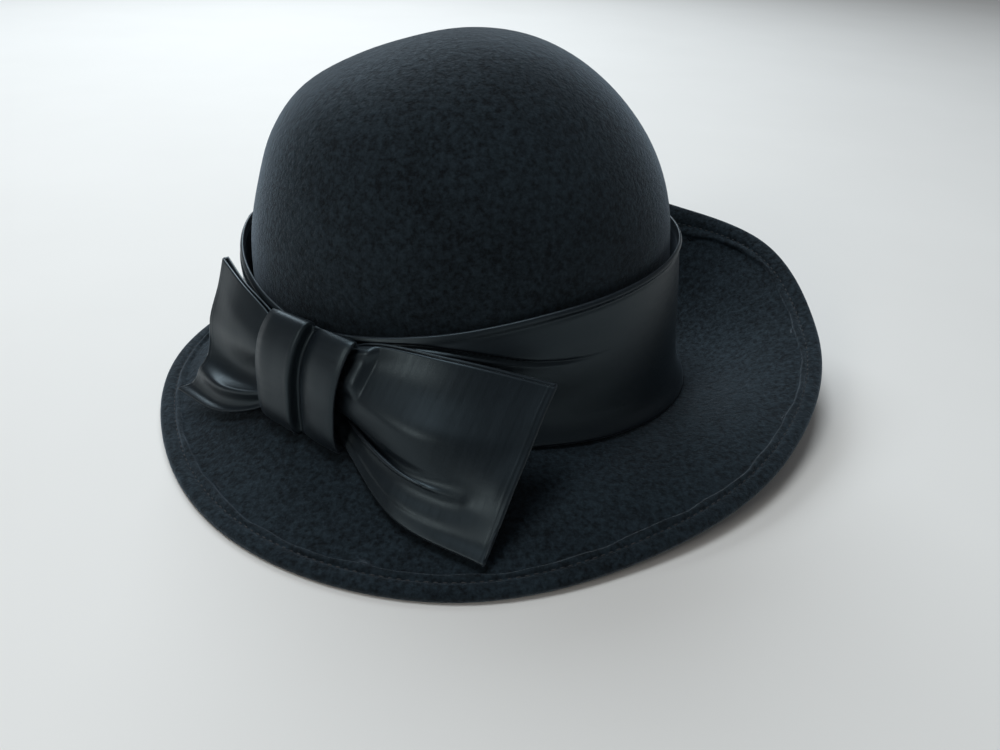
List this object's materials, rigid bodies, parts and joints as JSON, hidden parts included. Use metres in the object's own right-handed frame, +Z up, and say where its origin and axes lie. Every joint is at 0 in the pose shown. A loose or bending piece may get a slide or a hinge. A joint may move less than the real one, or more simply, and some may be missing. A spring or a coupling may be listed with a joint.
{
  "type": "cloche hat",
  "caption": "Felt cloche hat with a rounded crown, an uneven brim turned up at the back, a wide satin band and a flat satin bow.",
  "frame": {"origin": "middle of the brim's outline, on the surface the hat rests on", "axes": "+X towards the turned-up back of the brim, -Y towards the side with the bow, +Z up"},
  "size_m": [0.3358, 0.3006, 0.167],
  "materials": {
    "felt": "matte wool felt",
    "satin": "soft satin"
  },
  "bodies": {
    "root": {"felt_body": "felt", "satin_band": "satin", "bow_wing_right": "satin", "bow_wing_left": "satin", "bow_knot": "satin"}
  },
  "joints": []
}
